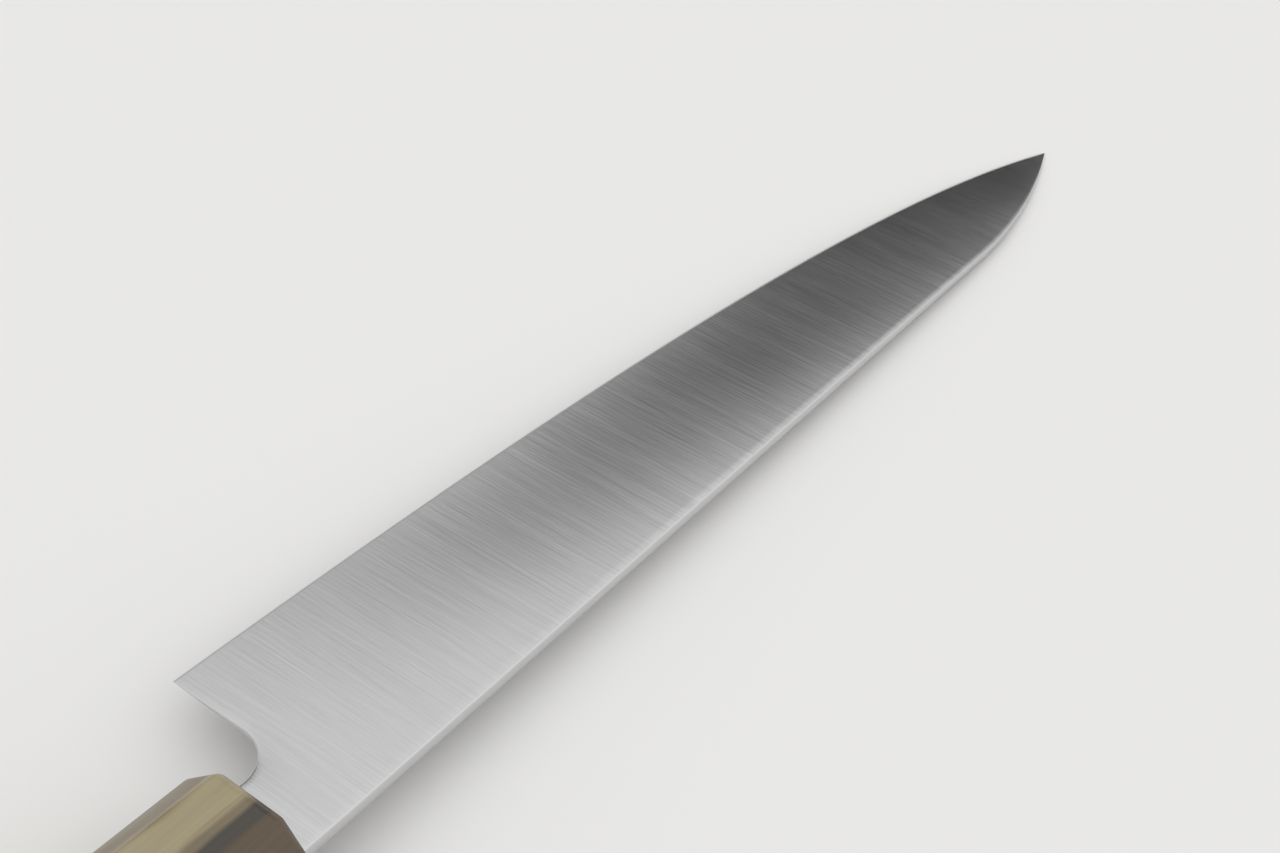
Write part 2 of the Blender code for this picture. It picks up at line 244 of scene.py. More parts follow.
def blade_sizes(x):
    """Spine, edge, crown, bevel height and the half thicknesses at spine and bevel, at x.

    Where the blade gets narrow towards the tip, its thickness shrinks with its height.
    """
    top, bottom = spine_y(x), edge_y(x)
    height = bottom - top
    full = spine_thickness(x) / 2
    half = (full ** -SLIM_POWER + (SLIM_SHARE * height) ** -SLIM_POWER) ** (-1 / SLIM_POWER)
    crown = min(SPINE_CROWN, half * THIN_SHARE)
    bevel = min(BEVEL_HEIGHT, height * THIN_SHARE / 2)
    edge_half = min(EDGE_THICKNESS / 2, half * THIN_SHARE)
    return top, bottom, crown, bevel, half, edge_half


def blade_column(x):
    """Rows (y, half thickness) of the blade at x, from the spine to the cutting edge."""
    top, bottom, crown, bevel, half, edge_half = blade_sizes(x)
    heel_top, heel_bottom, heel_crown, heel_bevel, _, _ = blade_sizes(FACE_START_X)
    split = (CHOIL_Y - heel_top - heel_crown) / (heel_bottom - heel_bevel - heel_top - heel_crown)
    shares = [split * (i + 1) / NECK_ROWS for i in range(NECK_ROWS)]
    shares += [split + (1 - split) * (i + 1) / EDGE_ROWS for i in range(EDGE_ROWS)]
    rows = crown_rows(top, crown, half)
    for share in shares:
        y = top + crown + share * (bottom - bevel - top - crown)
        rows.append((y, face_half(x, share, half, edge_half)))
    rows.append((bottom, 0.0))
    return rows


# Neck and tang

def neck_column(x, bottom):
    """Rows of the neck at x. The grind fades into the flat neck ahead of the ferrule."""
    flat = smooth_share(FACE_START_X - x, 0, FACE_START_X)
    top, heel_bottom, heel_crown, bevel, heel_half, edge_half = blade_sizes(FACE_START_X)
    face_top = top + heel_crown
    crown = heel_crown + (SPINE_CROWN - heel_crown) * flat
    half = heel_half + (SPINE_THICKNESS / 2 - heel_half) * flat
    rows = crown_rows(top, crown, half)
    for i in range(NECK_ROWS):
        y = top + crown + (i + 1) / NECK_ROWS * (bottom - top - crown)
        down = min(1.0, max(0.0, (y - face_top) / (heel_bottom - bevel - face_top)))
        ground = face_half(FACE_START_X, down, heel_half, edge_half)
        rows.append((y, ground + (SPINE_THICKNESS / 2 - ground) * flat))
    return rows


def tang_half_height(x):
    """Half height of the tang, which narrows evenly from its shoulder to its end."""
    share = min(1.0, max(0.0, (SHOULDER_END_X - x) / (TANG_LENGTH + SHOULDER_END_X)))
    return (TANG_HEIGHT + (TANG_END_HEIGHT - TANG_HEIGHT) * share) / 2


def tang_half_thickness(x):
    """Half thickness of the tang, which thins evenly from the ferrule's front to its end."""
    share = min(1.0, max(0.0, -x / TANG_LENGTH))
    return (SPINE_THICKNESS + (TANG_END_THICKNESS - SPINE_THICKNESS) * share) / 2


def tang_column(x, half_height):
    """Rows of the tang at x."""
    half = tang_half_thickness(x)
    rows = crown_rows(-half_height, SPINE_CROWN, half)
    face_height = 2 * half_height - SPINE_CROWN - RIM_EASE
    for i in range(NECK_ROWS):
        rows.append((-half_height + SPINE_CROWN + (i + 1) / NECK_ROWS * face_height, half))
    return rows


def blade_columns():
    """All columns (x, rows) from the tang's end to the last one before the tip."""
    columns = []
    for i in range(TANG_COLUMNS):
        x = -TANG_LENGTH + (TANG_LENGTH + SHOULDER_END_X) * i / TANG_COLUMNS
        columns.append((x, tang_column(x, tang_half_height(x))))
    for i in range(SHOULDER_COLUMNS + 1):
        share = i / SHOULDER_COLUMNS
        x = SHOULDER_END_X + TANG_SHOULDER * share
        rise = (1 - math.cos(math.pi * share)) / 2
        half_height = TANG_HEIGHT / 2 + (NECK_HEIGHT - TANG_HEIGHT) / 2 * rise
        columns.append((x, tang_column(x, half_height)))
    for i in range(NECK_COLUMNS):
        x = CHOIL_X * i / NECK_COLUMNS
        columns.append((x, neck_column(x, NECK_HEIGHT / 2 - RIM_EASE)))
    radius = CHOIL_RADIUS + RIM_EASE
    for i in range(CHOIL_STEPS):
        angle = math.pi / 2 * i / CHOIL_STEPS
        x = CHOIL_X + radius * math.sin(angle)
        columns.append((x, neck_column(x, CHOIL_Y - radius * math.cos(angle))))
    straight_end = TIP_X - SPINE_DROP_LENGTH
    for i in range(BLADE_COLUMNS):
        x = FACE_START_X + (straight_end - FACE_START_X) * i / BLADE_COLUMNS
        columns.append((x, blade_column(x)))
    for i in range(TIP_COLUMNS):
        x = straight_end + SPINE_DROP_LENGTH * math.sin(math.pi / 2 * i / TIP_COLUMNS)
        columns.append((x, blade_column(x)))
    return columns


# Blade mesh

FACE, POLISHED, BEVEL = range(3)


def rim_outward(x, y):
    """Direction out of the steel at the eased rim of the tang, neck, choil or heel."""
    if x <= CHOIL_X:
        return Vector((0, 1))
    if y >= CHOIL_Y:
        return Vector((-1, 0))
    return Vector((CHOIL_X - x, CHOIL_Y - y)).normalized()


class BladeSkin:
    """Closed skin of the blade over its columns and rows, with crisp lines at the bevel."""

    def __init__(self, columns):
        self.mesh = bmesh.new()
        self.left, self.right = [], []
        for x, rows in columns:
            pairs = [self.add_pair(x, y, half) for y, half in rows]
            self.left.append([left for left, _ in pairs])
            self.right.append([right for _, right in pairs])
        self.tip = self.mesh.verts.new((TIP_X, SPINE_Y + TIP_DROP, 0))
        self.heel = next(i for i, (x, _) in enumerate(columns) if x == FACE_START_X)
        self.neck_rows = len(columns[0][1])

    def add_pair(self, x, y, half):
        """Points of the two sides, which are one point where the thickness ends."""
        left = self.mesh.verts.new((x, y, half))
        return left, left if half == 0 else self.mesh.verts.new((x, y, -half))

    def add_face(self, finish, *corners):
        loop = list(dict.fromkeys(corners))
        if len(loop) > 2:
            self.mesh.faces.new(loop).material_index = finish

    def add_strip(self, finish, first, second):
        """Faces between two lines of the same number of points."""
        for i in range(len(first) - 1):
            self.add_face(finish, first[i], second[i], second[i + 1], first[i + 1])

    def add_sides(self):
        """Faces, spine and bevel between neighbouring columns, and on to the tip."""
        for side in (self.left, self.right):
            for c in range(len(side) - 1):
                rows = min(len(side[c]), len(side[c + 1]))
                for r in range(rows - 1):
                    finish = POLISHED if r < CROWN_STEPS else FACE
                    if c >= self.heel and r == rows - 2:
                        finish = BEVEL
                    self.add_strip(finish, side[c][r:r + 2], side[c + 1][r:r + 2])
            for r in range(len(side[-1]) - 1):
                finish = POLISHED if r < CROWN_STEPS else FACE
                self.add_face(finish, side[-1][r], side[-1][r + 1], self.tip)

    def add_rim(self):
        """Eased rim and wall under the tang and neck, round the choil and down the heel."""
        last = self.neck_rows - 1
        path = [(c, last) for c in range(self.heel)]
        path += [(self.heel, r) for r in range(last, len(self.left[self.heel]))]
        rims = [self.rim_lines(c, r) for c, r in path]
        for (left, right), (next_left, next_right) in zip(rims, rims[1:]):
            self.add_strip(FACE, left, next_left)
            self.add_strip(FACE, right, next_right)
            self.add_face(POLISHED, left[-1], next_left[-1], next_right[-1], right[-1])
        self.add_face(POLISHED, *self.left[0], *rims[0][0][1:],
                      *reversed(rims[0][1][1:]), *reversed(self.right[0]))
        for left, right in rims[-2:]:
            self.keep_sharp(left)
            self.keep_sharp(right)

    def rim_lines(self, c, r):
        """Points from the face over the eased rim to the wall, on both sides."""
        x, y, half = self.left[c][r].co
        outward = rim_outward(x, y)
        lines = ([self.left[c][r]], [self.right[c][r]])
        for step in range(1, RIM_EASE_STEPS + 1):
            angle = math.pi / 2 * step / RIM_EASE_STEPS
            place = Vector((x, y)) + outward * RIM_EASE * math.sin(angle)
            thinner = half * (1 - RIM_EASE_SHARE * (1 - math.cos(angle)))
            for line, point in zip(lines, self.add_pair(*place, thinner)):
                line.append(point)
        return lines

    def keep_sharp(self, line):
        """Edges along a line of points stay crisp."""
        for start, end in zip(line, line[1:]):
            self.mesh.edges.get((start, end)).smooth = False

    def sharpen_edge(self):
        """The bevel's shoulder and the cutting edge stay crisp."""
        for side in (self.left, self.right):
            for row in (-1, -2):
                self.keep_sharp([column[row] for column in side[self.heel:]])


def lay_uv(data):
    """UV map whose first direction runs along the blade, for the direction of its shine."""
    layer = data.uv_layers.new(name="lengthwise")
    for loop in data.loops:
        place = data.vertices[loop.vertex_index].co
        layer.data[loop.index].uv = (place.x / BLADE_LENGTH, place.y / BLADE_LENGTH)


def make_blade(finishes):
    """Blade, neck and tang with a crowned spine, an eased choil and a fine cutting bevel."""
    skin = BladeSkin(blade_columns())
    skin.add_sides()
    skin.add_rim()
    skin.sharpen_edge()
    bmesh.ops.recalc_face_normals(skin.mesh, faces=skin.mesh.faces)
    data = mesh_data("blade_skin", skin.mesh, lay_uv)
    place_piece(data, "blade", finishes)


# Handle sections

def section_ring(x, inset=0.0):
    """Eight-sided section at x with rounded corners, drawn in from the outside by inset."""
    share = -x / HANDLE_LENGTH
    half_y = (FRONT_HEIGHT + (BUTT_HEIGHT - FRONT_HEIGHT) * share) / 2 - inset
    half_z = (FRONT_THICKNESS + (BUTT_THICKNESS - FRONT_THICKNESS) * share) / 2 - inset
    chamfer = FRONT_CHAMFER + (BUTT_CHAMFER - FRONT_CHAMFER) * share - inset * (2 - math.sqrt(2))
    corners = [
        (half_y, half_z - chamfer), (half_y - chamfer, half_z),
        (chamfer - half_y, half_z), (-half_y, half_z - chamfer),
        (-half_y, chamfer - half_z), (chamfer - half_y, -half_z),
        (half_y - chamfer, -half_z), (half_y, chamfer - half_z),
    ]
    ring = []
    turn = math.pi / 4
    setback = CORNER_RADIUS * math.tan(turn / 2)
    for i, (y, z) in enumerate(corners):
        facing = i * turn
        start_y = y + setback * math.sin(facing)
        start_z = z - setback * math.cos(facing)
        centre_y = start_y - CORNER_RADIUS * math.cos(facing)
        centre_z = start_z - CORNER_RADIUS * math.sin(facing)
        for step in range(CORNER_STEPS + 1):
            angle = facing + turn * step / CORNER_STEPS
            ring.append((
                x,
                centre_y + CORNER_RADIUS * math.cos(angle),
                centre_z + CORNER_RADIUS * math.sin(angle),
            ))
    return ring


def rounded_end(x, radius, outward):
    """Rings of a rounded rim whose flat end face is at x.

    outward is +1 at the handle's front and -1 at its back.
    """
    rings = []
    for step in range(RIM_STEPS + 1):
        angle = math.pi / 2 * step / RIM_STEPS
        ring_x = x - outward * radius * (1 - math.sin(angle))
        rings.append(section_ring(ring_x, radius * (1 - math.cos(angle))))
    return rings


def rectangle_ring(x, half_y, half_z):
    """Four corners of a rectangle across the handle's axis."""
    return [(x, half_y, half_z), (x, -half_y, half_z), (x, -half_y, -half_z), (x, half_y, -half_z)]


def mouth_ring(x, offset):
    """Rounded rectangle round the neck at x, at a distance from the neck's surface."""
    radius = MOUTH_CORNER + offset
    half_y = NECK_HEIGHT / 2 + offset - radius
    half_z = SPINE_THICKNESS / 2 + offset - radius
    ring = []
    for quarter, (y, z) in enumerate(((1, 1), (-1, 1), (-1, -1), (1, -1))):
        for step in range(CORNER_STEPS + 1):
            turn = math.pi / 2 * (quarter + step / CORNER_STEPS)
            ring.append((
                x,
                y * half_y + radius * math.cos(turn),
                z * half_z + radius * math.sin(turn),
            ))
    return ring


def circle_ring(x, radius):
    """Points of a circle across the handle's axis."""
    turns = [2 * math.pi * i / BORE_SIDES for i in range(BORE_SIDES)]
    return [(x, radius * math.cos(turn), radius * math.sin(turn)) for turn in turns]


def loft(name, rings, closed=False):
    """Mesh of a solid through rings of the same number of points.

    Its two ends are flat, or closed joins the last ring to the first one.
    """
    mesh = bmesh.new()
    loops = [[mesh.verts.new(point) for point in ring] for ring in rings]
    following = loops[1:] + loops[:1] if closed else loops[1:]
    for first, second in zip(loops, following):
        for i in range(len(first)):
            after = (i + 1) % len(first)
            mesh.faces.new((first[i], first[after], second[after], second[i]))
    if not closed:
        mesh.faces.new(loops[0])
        mesh.faces.new(loops[-1])
    bmesh.ops.recalc_face_normals(mesh, faces=mesh.faces)
    return mesh_data(name, mesh)


# Pieces from meshes

def mesh_data(name, mesh, dress=None):
    """Mesh data from a bmesh in the knife's frame, set down in the row's frame in metres."""
    data = bpy.data.meshes.new(name)
    mesh.to_mesh(data)
    mesh.free()
    if dress is not None:
        dress(data)
    data.transform(KNIFE @ Matrix.Scale(MM, 4))
    data.shade_smooth()
    return data


def place_piece(data, node, finishes):
    """A shown piece that stands for a node of the solid model and takes its finish from a slot."""
    piece = bpy.data.objects.new(data.name, data)
    bpy.context.scene.collection.objects.link(piece)
    for finish in finishes:
        data.materials.append(finish)
    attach(piece, "root")
    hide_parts(node)
    return piece


def cut(piece, *cutters):
    """Subtract the cutters' meshes from a piece for good, and keep its edges crisp."""
    for data in cutters:
        cutter = bpy.data.objects.new(data.name, data)
        bpy.context.scene.collection.objects.link(cutter)
        modifier = piece.modifiers.new(data.name, "BOOLEAN")
        modifier.operation = "DIFFERENCE"
        modifier.solver = "EXACT"
        modifier.object = cutter
        shape = piece.evaluated_get(bpy.context.evaluated_depsgraph_get())
        carved = bpy.data.meshes.new_from_object(shape)
        piece.modifiers.clear()
        piece.data = carved
        bpy.data.objects.remove(cutter)
    piece.data.name = piece.name
    piece.data.set_sharp_from_angle(angle=SHARP_ANGLE)


def tang_void():
    """Tapered slot that follows the tang with a clearance all round."""
    rings = []
    for x in (SHOULDER_END_X + CUT_PAST, -TANG_LENGTH, -TANG_LENGTH - TANG_END_ROOM):
        rings.append(rectangle_ring(x, tang_half_height(x) + CLEARANCE,
                                    tang_half_thickness(x) + CLEARANCE))
    return loft("tang_void", rings)


def mouth_slot(start, end):
    """Slot for the neck between two places along the handle."""
    return loft("mouth_slot", [mouth_ring(start, CLEARANCE), mouth_ring(end, CLEARANCE)])


def seal_pocket():
    """Shallow pocket round the mouth that holds the seal."""
    offset = CLEARANCE + SEAL_WIDTH
    return loft("seal_pocket", [mouth_ring(CUT_PAST, offset), mouth_ring(-SEAL_DEPTH, offset)])


def dowel_bore():
    """Round bore through the ferrule's back and into the grip."""
    radius = DOWEL_RADIUS + CLEARANCE
    back = -FERRULE_LENGTH - DOWEL_IN_GRIP - CLEARANCE
    return loft("dowel_bore", [circle_ring(-FRONT_WALL, radius), circle_ring(back, radius)])


def make_ferrule(finish):
    """Horn ferrule with a rounded front rim, a mouth for the neck and a bore for the dowel."""
    back = -FERRULE_LENGTH - (CLEARANCE - JOINT_GAP) / 2
    rings = rounded_end(back, JOINT_RADIUS, -1)[::-1]
    rings += rounded_end(0.0, RIM_RADIUS, 1)
    piece = place_piece(loft("ferrule_shell", rings), "horn_ferrule", [finish])
    cut(piece, dowel_bore(), mouth_slot(CUT_PAST, -FRONT_WALL - CUT_PAST), seal_pocket())


def make_seal(finish):
    """Resin plug in the mouth, which climbs the neck a little as it did when it was poured."""
    widest = CLEARANCE + SEAL_WIDTH - SEAL_CLEARANCE
    inner_end = SEAL_CLEARANCE - SEAL_DEPTH
    profile = [(SEAL_CLEARANCE, inner_end), (widest, inner_end)]
    for step in range(SEAL_STEPS + 1):
        share = step / SEAL_STEPS
        climb = (SEAL_CLIMB + SEAL_SINK) * share ** SEAL_CURVE - SEAL_SINK
        profile.append((widest + (SEAL_CLEARANCE - widest) * share, climb))
    rings = [mouth_ring(x, offset) for offset, x in profile]
    place_piece(loft("seal_plug", rings, closed=True), "mouth_seal", [finish])


def make_grip(finish):
    """Wooden grip with a rounded butt and a tight joint to the ferrule."""
    front = -FERRULE_LENGTH - (CLEARANCE + JOINT_GAP) / 2
    rings = rounded_end(-HANDLE_LENGTH, BUTT_RADIUS, -1)[::-1]
    rings += rounded_end(front, JOINT_RADIUS, 1)
    piece = place_piece(loft("grip_shell", rings), "wood_handle", [finish])
    cut(piece, dowel_bore(), tang_void())


# Shader graphs

class Graph:
    """Short forms for building a material's or a world's nodes."""

    def __init__(self, owner):
        owner.use_nodes = True
        self.tree = owner.node_tree

    def add(self, kind, inputs=None, **settings):
        """A node with its settings, and inputs given as values or as other nodes' outputs."""
        node = self.tree.nodes.new(kind)
        for name, value in settings.items():
            setattr(node, name, value)
        for name, value in (inputs or {}).items():
            self.feed(node.inputs[name], value)
        return node

    def feed(self, socket, value):
        """Link an output to a socket, or set the socket's value."""
        if isinstance(value, bpy.types.NodeSocket):
            self.tree.links.new(value, socket)
        else:
            socket.default_value = value

    def math(self, operation, *values):
        """Result of a math operation."""
        return self.add("ShaderNodeMath", dict(enumerate(values)), operation=operation).outputs[0]

    def remap(self, value, old, new, smooth=False):
        """A value moved from one range to another and kept inside it."""
        kind = "SMOOTHSTEP" if smooth else "LINEAR"
        inputs = {"Value": value, "From Min": old[0], "From Max": old[1],
                  "To Min": new[0], "To Max": new[1]}
        return self.add("ShaderNodeMapRange", inputs, interpolation_type=kind).outputs["Result"]

    def dot(self, first, second):
        """Dot product of two vectors."""
        inputs = {0: first, 1: second}
        return self.add("ShaderNodeVectorMath", inputs, operation="DOT_PRODUCT").outputs["Value"]

    def multiply(self, first, second):
        """Two vectors or colours multiplied, or one of them by a single value."""
        inputs = {0: first, 1: second}
        return self.add("ShaderNodeVectorMath", inputs, operation="MULTIPLY").outputs[0]

    def axes(self, vector):
        """The values of a vector, by the names X, Y and Z."""
        return self.add("ShaderNodeSeparateXYZ", {0: vector}).outputs

    def ramp(self, value, stops):
        """Colour along a value, from stops (position, colour)."""
        node = self.add("ShaderNodeValToRGB", {"Fac": value})
        ramp = node.color_ramp
        ramp.interpolation = "EASE"
        while len(ramp.elements) < len(stops):
            ramp.elements.new(1.0)
        for element, (position, colour) in zip(ramp.elements, stops):
            element.position = position
            element.color = (*colour, 1)
        return node.outputs["Color"]

    def bump(self, height, distance):
        """Normal of a height, from 0 to 1, that stands for a distance in millimetres."""
        inputs = {"Height": height, "Distance": distance * MM, "Strength": 1.0}
        return self.add("ShaderNodeBump", inputs).outputs["Normal"]


class Finish(Graph):
    """A material with its Principled shader and the knife's coordinates in metres."""

    def __init__(self, name, knife_axes):
        self.material = bpy.data.materials.new(name)
        super().__init__(self.material)
        self.shader = self.tree.nodes["Principled BSDF"]
        self.place = self.add("ShaderNodeTexCoord", object=knife_axes).outputs["Object"]

    def set(self, values):
        """Set or link the shader's inputs by name."""
        for name, value in values.items():
            self.feed(self.shader.inputs[name], value)

    def noise(self, frequencies, detail=2.0, roughness=0.5):
        """Noise in the knife, from 0 to 1, with a frequency per metre for each axis."""
        inputs = {"Vector": self.multiply(self.place, frequencies), "Scale": 1.0,
                  "Detail": detail, "Roughness": roughness}
        return self.add("ShaderNodeTexNoise", inputs).outputs[0]


# Parts of a noise's range that a remap stretches out
SPREAD = (0.3, 0.7)
WIDE_SPREAD = (0.25, 0.75)


# Steel. The frequencies of every noise are per metre: along the knife, across it and through it.
# The depths of its lines and streaks are multiples of the finest lines', which is SATIN_DEPTH.

STEEL = (0.61, 0.61, 0.615)

BROAD_LINES = (1900, 60, 100)
NARROW_LINES = (4600, 90, 200)
FINEST_LINES = (10000, 140, 400)
NARROW_SHARE = 0.65
LINE_SPREAD = (0.34, 0.66)
LINE_SHADE = (0.95, 1.05)
BROAD_DEPTH = 1.6
NARROW_DEPTH = 0.8
SATIN_DEPTH = 0.0034

STREAKS = (380, 36, 36)
STREAK_GROWTH = (30.0, 100.0)
STREAK_START = 0.3
STREAK_SHADE = 0.42
STREAK_DEPTH = 1.4

CLOUDS = (60, 45, 10)
CLOUD_SPREAD = (0.2, 0.8)
SATIN_ROUGHNESS = (0.155, 0.18)

SPINE_LINES = (60, 3000, 3000)
SPINE_LINE_DEPTH = 0.002
POLISHED_ROUGHNESS = (0.18, 0.26)

STONE_SCRATCHES = (9000, 600, 600)
SCRATCH_DEPTH = 0.001
HONED_ROUGHNESS = (0.36, 0.46)


def make_satin_steel(knife_axes):
    """Face finish: hairlines from spine to edge, and the long soft shine that they give.

    Softer, broader streaks run the same way and grow stronger from the heel on.
    """
    finish = Finish("satin_steel", knife_axes)
    broad = finish.noise(BROAD_LINES)
    narrow = finish.noise(NARROW_LINES)
    finest = finish.noise(FINEST_LINES)
    clouds = finish.noise(CLOUDS, detail=1.0)
    streaks = finish.noise(STREAKS, detail=3.0, roughness=0.7)
    growth = finish.remap(finish.axes(finish.place)["X"], [x * MM for x in STREAK_GROWTH],
                          (STREAK_START, 1.0), smooth=True)
    streaks = finish.math("MULTIPLY", finish.math("SUBTRACT", streaks, 0.5), growth)
    lines = finish.math("MULTIPLY_ADD", narrow, NARROW_SHARE,
                        finish.math("MULTIPLY", broad, 1 - NARROW_SHARE))
    shade = finish.math("MULTIPLY_ADD", streaks, STREAK_SHADE,
                        finish.remap(lines, LINE_SPREAD, LINE_SHADE))
    height = finish.math("MULTIPLY_ADD", narrow, NARROW_DEPTH, finest)
    height = finish.math("MULTIPLY_ADD", broad, BROAD_DEPTH, height)
    height = finish.math("MULTIPLY_ADD", streaks, STREAK_DEPTH, height)
    tangent = finish.add("ShaderNodeTangent", direction_type="UV_MAP", uv_map="lengthwise")
    finish.set({
        "Base Color": finish.multiply(STEEL, shade),
        "Metallic": 1.0,
        "Roughness": finish.remap(clouds, CLOUD_SPREAD, SATIN_ROUGHNESS),
        "Anisotropic": 0.3,
        "Tangent": tangent.outputs[0],
        "Normal": finish.bump(height, SATIN_DEPTH),
    })
    return finish.material


def make_lined_steel(knife_axes, name, frequencies, roughness, depth):
    """Steel with one kind of fine line."""
    finish = Finish(name, knife_axes)
    lines = finish.noise(frequencies)
    finish.set({
        "Base Color": (*STEEL, 1),
        "Metallic": 1.0,
        "Roughness": finish.remap(lines, SPREAD, roughness),
        "Normal": finish.bump(lines, depth),
    })
    return finish.material


def make_polished_steel(knife_axes):
    """Spine and choil: smoother, with faint lines along the blade."""
    return make_lined_steel(knife_axes, "polished_steel", SPINE_LINES, POLISHED_ROUGHNESS,
                            SPINE_LINE_DEPTH)


def make_honed_steel(knife_axes):
    """Cutting bevel: fine stone scratches across the edge."""
    return make_lined_steel(knife_axes, "honed_steel", STONE_SCRATCHES, HONED_ROUGHNESS,
                            SCRATCH_DEPTH)


# Horn. Each band has its place across the handle, within HORN_SPAN of the middle, and its colour.

HORN_SPAN = 12.0
HORN_CREAM = (0.36, 0.31, 0.19)
HORN_TAN = (0.20, 0.16, 0.10)
# Painted shade: a darker ochre than the horn's own beige, which the edge-side chamfer's bands take
# to stand for the shade on that facet
HORN_CHAMFER_SHADE = (0.15, 0.10, 0.03)
HORN_BROWN = (0.11, 0.08, 0.05)
HORN_GREY = (0.07, 0.06, 0.05)
HORN_BANDS = (
    (-12.0, HORN_BROWN),
    (-10.5, HORN_TAN),
    (-9.5, HORN_GREY),
    (-8.0, HORN_BROWN),
    (-5.0, HORN_BROWN),
    (-4.0, HORN_GREY),
    (-2.0, HORN_GREY),
    (-0.5, HORN_TAN),
    (1.0, HORN_CREAM),
    (4.5, HORN_CREAM),
    # Painted shade on the edge-side chamfer: these two bands are darker than the horn itself is
    # there
    (6.5, HORN_CHAMFER_SHADE),
    (8.5, HORN_CHAMFER_SHADE),
    (10.0, HORN_TAN),
    (11.0, HORN_BROWN),
    (12.0, HORN_TAN),
)
HORN_WANDER = (22, 110, 110)
HORN_STREAKS = (35, 1500, 1500)
BAND_LEAN = 0.2
BAND_WANDER = 9.0
BAND_FRAY = 1.2
HORN_SHADE = (0.9, 1.1)
HORN_ROUGHNESS = (0.28, 0.36)
HORN_DEPTH = 0.004


def make_horn(knife_axes):
    """Polished buffalo horn: beige on the edge side, then grey and brown bands.

    The bands run along the handle, lean a little, wander slowly and have frayed borders.
    """
    finish = Finish("marbled_horn", knife_axes)
    axes = finish.axes(finish.place)
    wander = finish.noise(HORN_WANDER, detail=3.0)
    streaks = finish.noise(HORN_STREAKS, detail=4.0, roughness=0.6)
    below = finish.math("SUBTRACT", axes["Z"], FRONT_THICKNESS / 2 * MM)
    side = finish.math("MULTIPLY_ADD", below, BAND_LEAN, axes["Y"])
    for noise, size in ((wander, BAND_WANDER), (streaks, BAND_FRAY)):
        side = finish.math("MULTIPLY_ADD", finish.math("SUBTRACT", noise, 0.5), size * MM, side)
    share = finish.remap(side, (-HORN_SPAN * MM, HORN_SPAN * MM), (0.0, 1.0))
    stops = [((y + HORN_SPAN) / (2 * HORN_SPAN), colour) for y, colour in HORN_BANDS]
    shade = finish.remap(streaks, WIDE_SPREAD, HORN_SHADE)
    finish.set({
        "Base Color": finish.multiply(finish.ramp(share, stops), shade),
        "Roughness": finish.remap(streaks, SPREAD, HORN_ROUGHNESS),
        "IOR": 1.54,
        "Specular IOR Level": 0.35,
        "Subsurface Weight": 0.15,
        "Subsurface Radius": (1.0, 0.7, 0.4),
        "Subsurface Scale": 0.8 * MM,
        "Coat Weight": 0.08,
        "Coat Roughness": 0.15,
        "Normal": finish.bump(streaks, HORN_DEPTH),
    })
    return finish.material


# Wood. Each wood has a pale colour, the darker one of its year rings, and a roughness.

GRIP_WOOD = ((0.60, 0.47, 0.30), (0.50, 0.37, 0.22), 0.58)
DOWEL_WOOD = ((0.48, 0.34, 0.19), (0.36, 0.24, 0.13), 0.68)
RING_CENTRE = (18.0, -55.0)
RING_WIDTH = 1.7
RING_SWAY = 2.6
RING_START = 0.72
RING_DARKEST = 0.93
WOOD_SWAY = (9, 60, 60)
FIBRES = (55, 2600, 2600)
FIBRE_SHADE = (0.90, 1.08)
PORES = (320, 5200, 5200)
PORE_SPREAD = (0.30, 0.40)
PORE_SHADE = (0.86, 1.0)
SMOOTHER = 0.05
ROUGHER = 0.07
WOOD_DEPTH = 0.02


def make_wood(knife_axes, name, wood):
    """Straight-grained wood: curved year rings, fibres along the handle and short fine pores."""
    pale, dark, roughness = wood
    finish = Finish(name, knife_axes)
    axes = finish.axes(finish.place)
    sway = finish.noise(WOOD_SWAY)
    fibres = finish.noise(FIBRES, detail=4.0, roughness=0.6)
    pores = finish.noise(PORES, detail=1.0)
    off_y = finish.math("SUBTRACT", axes["Y"], RING_CENTRE[0] * MM)
    off_z = finish.math("SUBTRACT", axes["Z"], RING_CENTRE[1] * MM)
    squares = finish.math("MULTIPLY_ADD", off_y, off_y, finish.math("MULTIPLY", off_z, off_z))
    distance = finish.math("MULTIPLY_ADD", sway, RING_SWAY * MM, finish.math("SQRT", squares))
    ring = finish.math("FRACT", finish.math("DIVIDE", distance, RING_WIDTH * MM))
    stops = ((0.0, pale), (RING_START, pale), (RING_DARKEST, dark), (1.0, pale))
    grain = finish.remap(fibres, WIDE_SPREAD, FIBRE_SHADE)
    pits = finish.remap(pores, PORE_SPREAD, PORE_SHADE)
    shade = finish.math("MULTIPLY", grain, pits)
    finish.set({
        "Base Color": finish.multiply(finish.ramp(ring, stops), shade),
        "Roughness": finish.remap(fibres, SPREAD, (roughness - SMOOTHER, roughness + ROUGHER)),
        "Normal": finish.bump(finish.math("MULTIPLY", fibres, pits), WOOD_DEPTH),
    })
    return finish.material


# Seal

RESIN_WAVES = (500, 500, 500)
RESIN_DARK = (0.05, 0.032, 0.02)
RESIN_PALE = (0.085, 0.055, 0.035)
RESIN_ROUGHNESS = (0.28, 0.4)
RESIN_DEPTH = 0.02


def make_seal_resin(knife_axes):
    """Dark resin with a soft shine."""
    finish = Finish("seal_resin", knife_axes)
    waves = finish.noise(RESIN_WAVES)
    stops = ((SPREAD[0], RESIN_DARK), (SPREAD[1], RESIN_PALE))
    finish.set({
        "Base Color": finish.ramp(waves, stops),
        "Roughness": finish.remap(waves, SPREAD, RESIN_ROUGHNESS),
        "Normal": finish.bump(waves, RESIN_DEPTH),
    })
    return finish.material


# Studio

